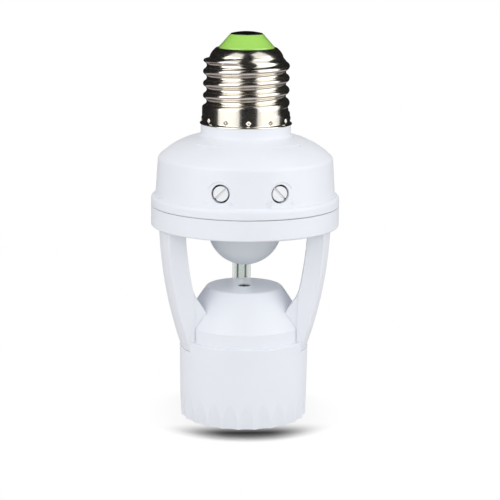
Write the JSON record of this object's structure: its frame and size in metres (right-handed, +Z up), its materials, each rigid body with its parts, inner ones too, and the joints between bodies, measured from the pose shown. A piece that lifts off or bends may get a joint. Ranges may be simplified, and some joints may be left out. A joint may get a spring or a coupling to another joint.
{
  "type": "motion sensor lamp holder",
  "caption": "Screw-in adapter with a round motion sensor housing, two slotted adjusters, a domed lens and two bowed legs that carry a threaded lamp socket below.",
  "frame": {"origin": "centre of the lower rim of the lamp socket, on the plane that the part stands on", "axes": "+Z up along the axis of the socket and the screw cap, -Y towards the two adjusters, +X and -X towards the legs"},
  "size_m": [0.0576, 0.0576, 0.1188],
  "materials": {
    "white_plastic": "moulded, fine satin",
    "white_knob": "moulded, satin",
    "nickel_plate": "nickel-plated, rolled",
    "lime_insulator": "glossy moulded plug",
    "dark_contact": "darkened contact metal",
    "blue_trimmer": "moulded",
    "circuit_laminate": "glass-fibre laminate with green lacquer",
    "black_case": "moulded case",
    "yellow_case": "moulded box",
    "dark_filter": "polished filter",
    "amber_sensor": "clear lacquer over a ceramic disc",
    "milky_lens": "thin milky polyethylene",
    "red_lead": "insulated wire",
    "grey_lead": "insulated wire",
    "zinc_screw": "zinc-plated steel",
    "clear_tube": "clear flexible tube",
    "heat_base": "heat-resistant moulding",
    "brass_strip": "stamped strip"
  },
  "bodies": {
    "holder": {"screw_shell": "nickel_plate", "cap_insulator": "lime_insulator", "centre_contact": "dark_contact", "upper_housing": "white_plastic", "time_trimmer": "blue_trimmer", "lux_trimmer": "blue_trimmer", "circuit_board": "circuit_laminate", "relay": "black_case", "mains_capacitor": "yellow_case", "smoothing_capacitor": "black_case", "control_chip": "black_case", "pyro_sensor": "nickel_plate", "sensor_filter": "dark_filter", "light_sensor": "amber_sensor", "lens_spacer": "white_plastic", "sensor_lens": "milky_lens", "cap_live_lead": "red_lead", "cap_neutral_lead": "grey_lead", "housing_screws": "zinc_screw", "leg_frame": "white_plastic", "clear_sleeve": "clear_tube", "live_lead": "grey_lead", "neutral_lead": "grey_lead", "socket_housing": "white_plastic", "contact_base": "heat_base", "thread_shell": "nickel_plate", "centre_spring": "brass_strip", "shell_strap": "brass_strip", "spring_tab": "brass_strip", "shell_rivets": "zinc_screw", "spring_rivet": "zinc_screw", "base_screw": "zinc_screw"},
    "time_dial": {"time_knob": "white_knob"},
    "lux_dial": {"lux_knob": "white_knob"}
  },
  "joints": [
    {"name": "time_turn", "type": "hinge", "parent": "holder", "child": "time_dial", "pos_m": [-0.00868, -0.02535, 0.07355], "axis": [-0.3239, -0.9461, 0], "range_deg": [-60, 150]},
    {"name": "lux_turn", "type": "hinge", "parent": "holder", "child": "lux_dial", "pos_m": [0.00868, -0.02535, 0.07355], "axis": [0.3239, -0.9461, 0], "range_deg": [-150, 60]}
  ]
}
